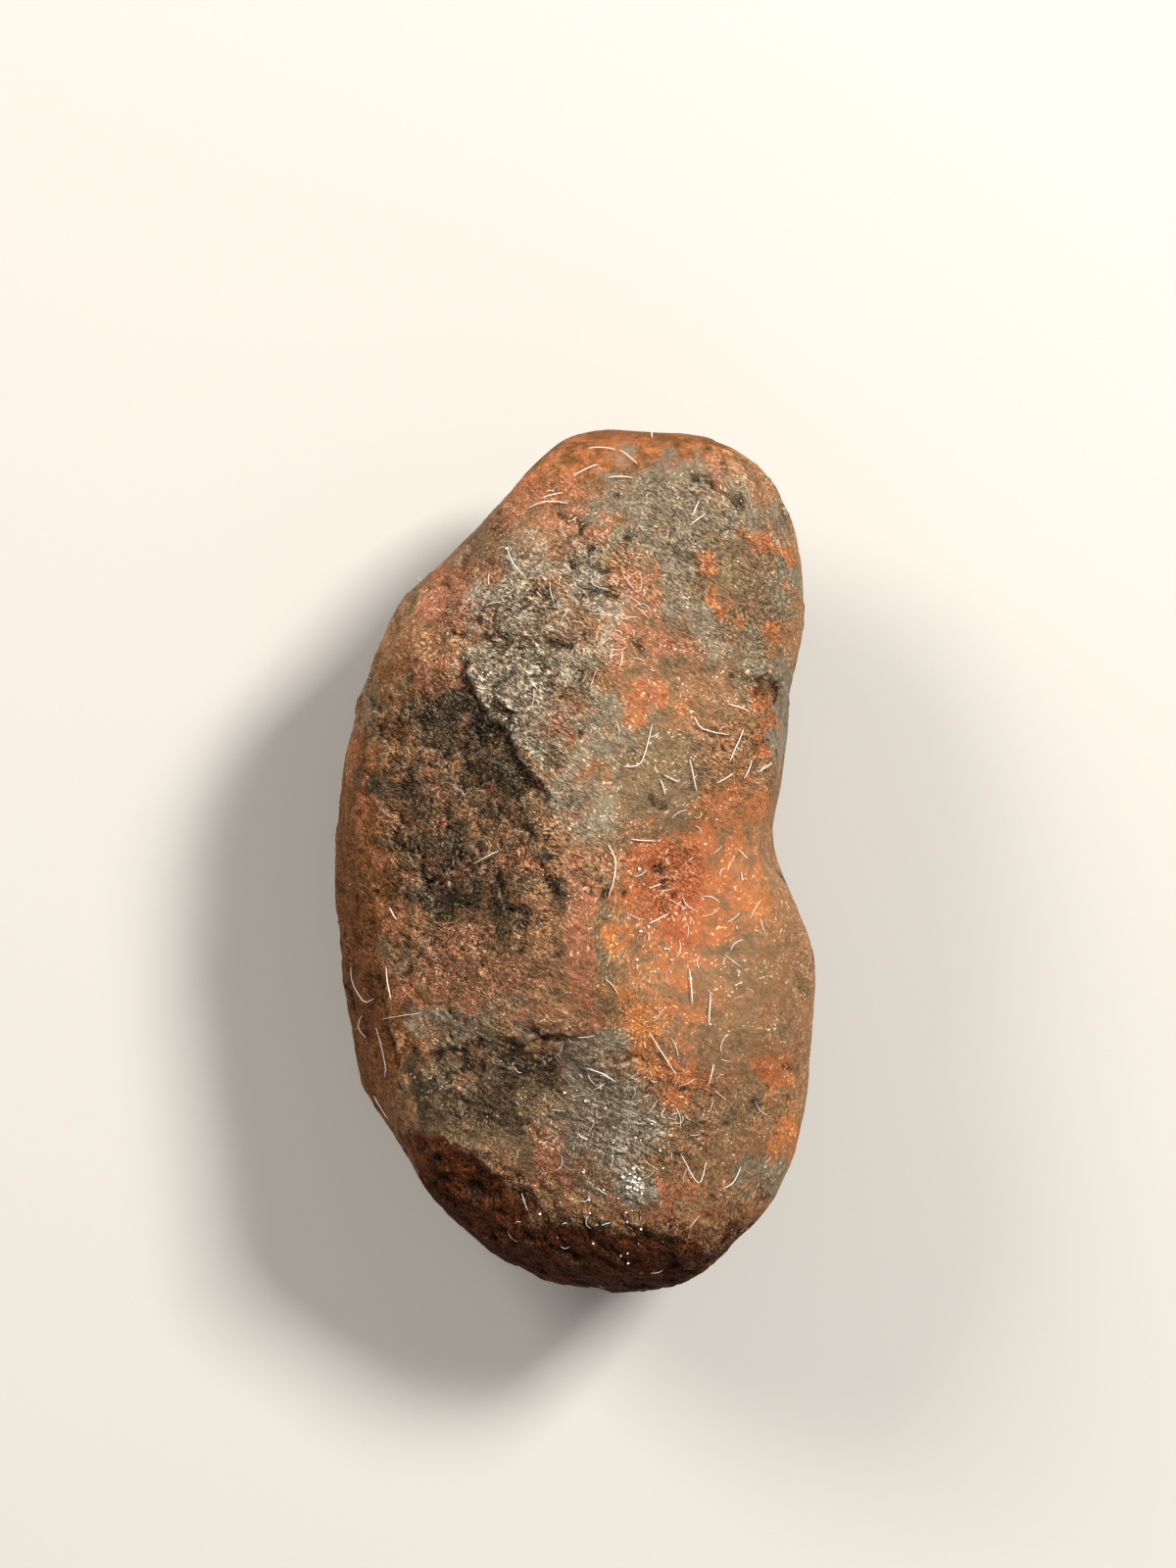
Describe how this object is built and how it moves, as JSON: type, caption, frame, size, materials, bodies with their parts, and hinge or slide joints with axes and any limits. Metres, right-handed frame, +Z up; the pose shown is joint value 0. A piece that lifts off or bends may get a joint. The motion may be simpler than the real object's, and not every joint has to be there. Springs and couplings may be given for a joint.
{
  "type": "iron meteorite",
  "caption": "Small kidney-shaped iron meteorite, faceted and dished, with a rust-brown weathered crust and a small flat resting spot.",
  "frame": {"origin": "middle of the plan outline, at the height of the surface that the meteorite rests on", "axes": "+Y along the length, +X across the width towards the waist notch, +Z up through the ridged face"},
  "size_m": [0.0166, 0.03, 0.0122],
  "materials": {
    "crust": "weathered iron crust: mottled red-brown, rust orange, black and steel grey, with a dull metal sheen",
    "lint": "fine pale lint and dust caught on the crust"
  },
  "bodies": {
    "root": {"meteorite": "crust"}
  },
  "joints": []
}
